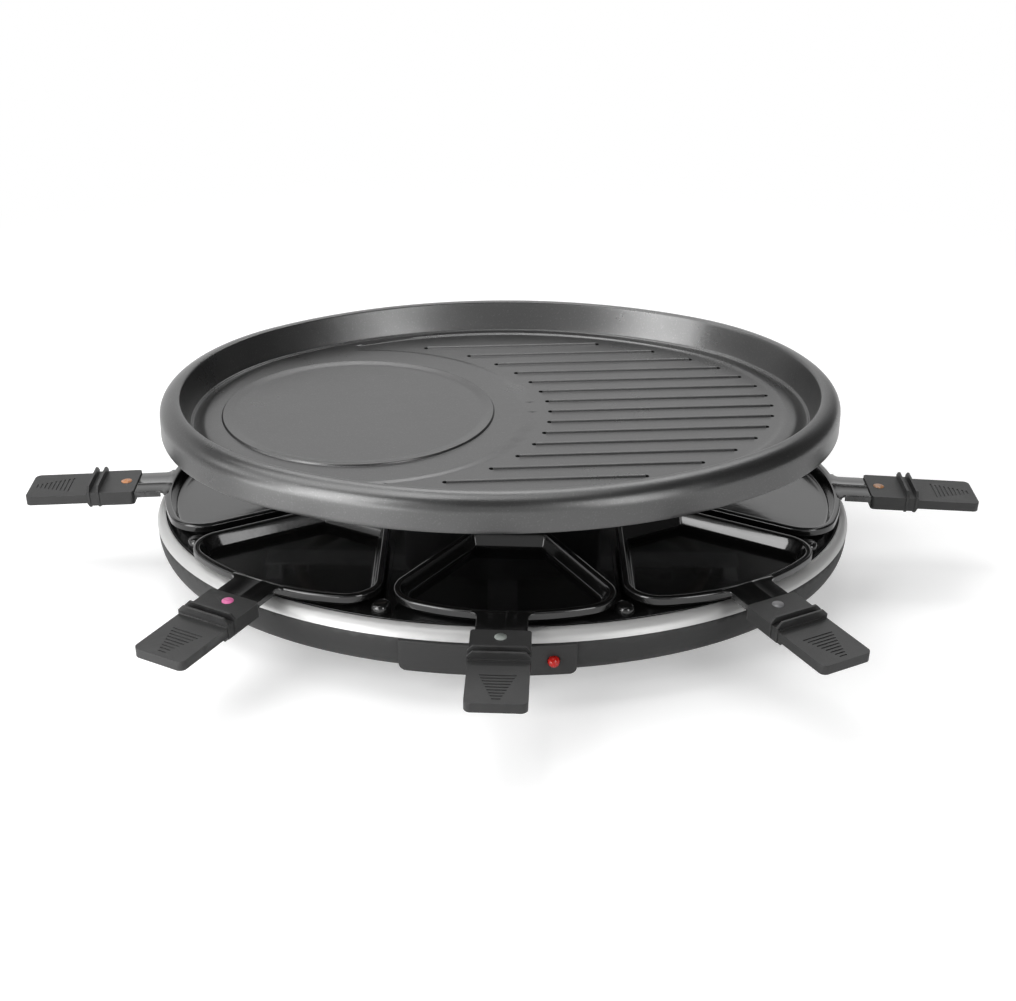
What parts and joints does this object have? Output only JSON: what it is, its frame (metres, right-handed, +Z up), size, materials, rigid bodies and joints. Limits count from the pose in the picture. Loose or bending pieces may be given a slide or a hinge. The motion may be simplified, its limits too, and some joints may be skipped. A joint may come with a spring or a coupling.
{
  "type": "raclette grill",
  "caption": "Oval table raclette grill: cast plate with pancake disc and ribs over slide-out wedge pans with handles, on a low dark base with a satin band.",
  "frame": {"origin": "centre of the oval base, on the surface the feet stand on", "axes": "+X along the oval's long axis, +Y away from the front panel, +Z up"},
  "size_m": [0.5152, 0.441, 0.1084],
  "materials": {
    "coated_cast_aluminium": "dark non-stick coating with a fine speckle",
    "black_enamel": "glossy black enamel",
    "pan_coating": "glossy black non-stick coating with bright worn rims",
    "satin_steel": "satin, brushed along the band",
    "shell_plastic": "matt dark grey, fine moulded grain",
    "panel_plastic": "matt dark grey, smooth",
    "handle_plastic": "matt near-black, fine moulded grain",
    "foot_rubber": "soft matt",
    "cover_steel": "powder coated",
    "aluminised_steel": "bare aluminised sheet",
    "element_steel": "heat-darkened",
    "screw_steel": "zinc plated",
    "ceramic": "unglazed",
    "thermostat_brass": "plain",
    "wire_cover": "woven glass sleeve",
    "lamp_plastic": "plain",
    "lamp_lens": "clear red",
    "dot_grey_green": "smooth",
    "dot_grey": "smooth",
    "dot_brown": "smooth",
    "dot_orange": "smooth",
    "dot_blue": "smooth",
    "dot_yellow": "smooth",
    "dot_green": "smooth",
    "dot_pink": "smooth"
  },
  "bodies": {
    "base": {"base_shell": "shell_plastic", "bottom_cover": "cover_steel", "cover_screws": "screw_steel", "foot_front_left": "foot_rubber", "foot_front_right": "foot_rubber", "foot_rear_left": "foot_rubber", "foot_rear_right": "foot_rubber", "trim_band": "satin_steel", "pan_tray": "black_enamel", "pan_stops": "black_enamel", "hub": "aluminised_steel", "plate_carrier": "aluminised_steel", "carrier_screw": "screw_steel", "hub_screws": "screw_steel", "heating_element": "element_steel", "element_clips": "aluminised_steel", "ceramic_block": "ceramic", "thermostat": "thermostat_brass", "thermal_fuse": "thermostat_brass", "terminal_block": "ceramic", "hub_wires": "wire_cover", "lamp_wires": "wire_cover", "cord_inlet": "shell_plastic", "control_panel": "panel_plastic", "lamp_body": "lamp_plastic", "lamp_lens": "lamp_lens"},
    "plate": {"grill_plate": "coated_cast_aluminium"},
    "pan_front_body": {"pan_front": "pan_coating", "handle_front": "handle_plastic", "dot_front": "dot_grey_green", "handle_screw_front": "screw_steel"},
    "pan_front_right_body": {"pan_front_right": "pan_coating", "handle_front_right": "handle_plastic", "dot_front_right": "dot_grey", "handle_screw_front_right": "screw_steel"},
    "pan_right_body": {"pan_right": "pan_coating", "handle_right": "handle_plastic", "dot_right": "dot_brown", "handle_screw_right": "screw_steel"},
    "pan_rear_right_body": {"pan_rear_right": "pan_coating", "handle_rear_right": "handle_plastic", "dot_rear_right": "dot_blue", "handle_screw_rear_right": "screw_steel"},
    "pan_rear_body": {"pan_rear": "pan_coating", "handle_rear": "handle_plastic", "dot_rear": "dot_yellow", "handle_screw_rear": "screw_steel"},
    "pan_rear_left_body": {"pan_rear_left": "pan_coating", "handle_rear_left": "handle_plastic", "dot_rear_left": "dot_green", "handle_screw_rear_left": "screw_steel"},
    "pan_left_body": {"pan_left": "pan_coating", "handle_left": "handle_plastic", "dot_left": "dot_orange", "handle_screw_left": "screw_steel"},
    "pan_front_left_body": {"pan_front_left": "pan_coating", "handle_front_left": "handle_plastic", "dot_front_left": "dot_pink", "handle_screw_front_left": "screw_steel"}
  },
  "joints": [
    {"name": "plate_lift", "type": "slide", "parent": "base", "child": "plate", "axis": [0, 0, 1], "range_m": [0, 0.15]},
    {"name": "pan_front_slide", "type": "slide", "parent": "base", "child": "pan_front_body", "axis": [-0.0419, -0.9991, 0], "range_m": [0, 0.13]},
    {"name": "pan_front_right_slide", "type": "slide", "parent": "base", "child": "pan_front_right_body", "axis": [0.5, -0.866, 0], "range_m": [0, 0.13]},
    {"name": "pan_right_slide", "type": "slide", "parent": "base", "child": "pan_right_body", "axis": [1, 0, 0], "range_m": [0, 0.13]},
    {"name": "pan_rear_right_slide", "type": "slide", "parent": "base", "child": "pan_rear_right_body", "axis": [0.5, 0.866, 0], "range_m": [0, 0.13]},
    {"name": "pan_rear_slide", "type": "slide", "parent": "base", "child": "pan_rear_body", "axis": [0, 1, 0], "range_m": [0, 0.13]},
    {"name": "pan_rear_left_slide", "type": "slide", "parent": "base", "child": "pan_rear_left_body", "axis": [-0.5, 0.866, 0], "range_m": [0, 0.13]},
    {"name": "pan_left_slide", "type": "slide", "parent": "base", "child": "pan_left_body", "axis": [-1, 0, 0], "range_m": [0, 0.13]},
    {"name": "pan_front_left_slide", "type": "slide", "parent": "base", "child": "pan_front_left_body", "axis": [-0.5, -0.866, 0], "range_m": [0, 0.13]}
  ]
}
